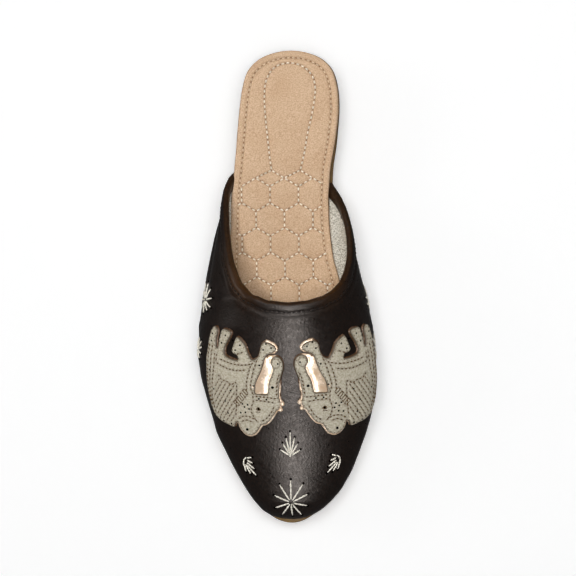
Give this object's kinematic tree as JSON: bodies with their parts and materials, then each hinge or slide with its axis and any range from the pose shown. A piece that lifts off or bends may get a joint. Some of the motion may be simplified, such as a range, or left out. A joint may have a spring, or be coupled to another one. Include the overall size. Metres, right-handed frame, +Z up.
{
  "type": "khussa",
  "caption": "Backless slip-on leather shoe for the right foot, with a low moulded wedge sole, a quilted padded insole, a bound topline and applied animal figures on the vamp.",
  "frame": {"origin": "centre of the shoe's bounding box, on the floor that it stands on", "axes": "+Y from toe to heel, +X towards the inner (medial) side of the foot, +Z up"},
  "size_m": [0.0945, 0.25, 0.0577],
  "materials": {
    "sole_rubber": "moulded brown rubber with a soft sheen",
    "upper_leather": "satin black-brown leather with a fine grain",
    "binding_leather": "satin dark brown leather",
    "insole_leather": "matt tan leather, quilted",
    "metallic_leather": "rose-gold metallic foil leather",
    "applique_leather": "matt grey-beige leather"
  },
  "bodies": {
    "root": {"outsole": "sole_rubber", "upper": "upper_leather", "topline_binding": "binding_leather", "insole": "insole_leather", "applique_backing_lateral": "metallic_leather", "applique_lateral": "applique_leather", "applique_backing_medial": "metallic_leather", "applique_medial": "applique_leather"}
  },
  "joints": []
}
